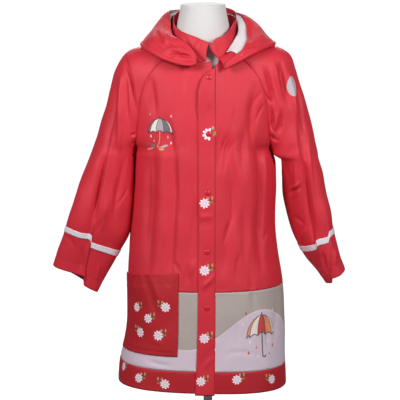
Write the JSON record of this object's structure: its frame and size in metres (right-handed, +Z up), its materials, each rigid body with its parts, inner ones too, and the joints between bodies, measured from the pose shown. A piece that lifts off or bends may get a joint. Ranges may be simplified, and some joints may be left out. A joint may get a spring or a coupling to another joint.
{
  "type": "child's hooded rain coat on a limbless dress form with stand",
  "caption": "Knee-length hooded child's rain coat of red coated cloth with a snap placket, patch pocket and printed border, worn open-cuffed on a limbless dress form with a round stand.",
  "frame": {"origin": "centre of the stand base's underside", "axes": "+Z up, -Y towards the coat's front, +X towards the wearer's left"},
  "size_m": [0.5262, 0.3, 0.914],
  "materials": {
    "coated_cloth": "satin polyurethane-coated knit",
    "coated_cloth_dark": "satin polyurethane-coated knit, darker",
    "border_print": "satin coated cloth printed taupe over lilac",
    "reflective_tape": "woven reflective tape",
    "lining_white": "matt woven lining",
    "snap_plastic": "gloss moulded",
    "form_cover": "matt stretch cover",
    "stand_black": "satin black",
    "stand_steel": "brushed"
  },
  "bodies": {
    "root": {"front_right": "coated_cloth", "front_left": "coated_cloth", "back": "coated_cloth", "sleeve_right": "coated_cloth", "sleeve_left": "coated_cloth", "collar": "coated_cloth", "hood": "coated_cloth", "placket": "coated_cloth", "pocket": "coated_cloth_dark", "hem_right": "coated_cloth_dark", "hem_left": "coated_cloth_dark", "hem_back": "coated_cloth_dark", "border_right": "border_print", "border_left": "border_print", "border_back": "border_print", "reflective_band_right": "reflective_tape", "reflective_band_left": "reflective_tape", "hood_lining": "lining_white", "dress_form": "form_cover", "stand_tube": "stand_black", "stand_rod": "stand_steel", "stand_base": "stand_steel", "snap_1": "snap_plastic", "snap_2": "snap_plastic", "snap_3": "snap_plastic", "snap_4": "snap_plastic", "snap_5": "snap_plastic"}
  },
  "joints": []
}
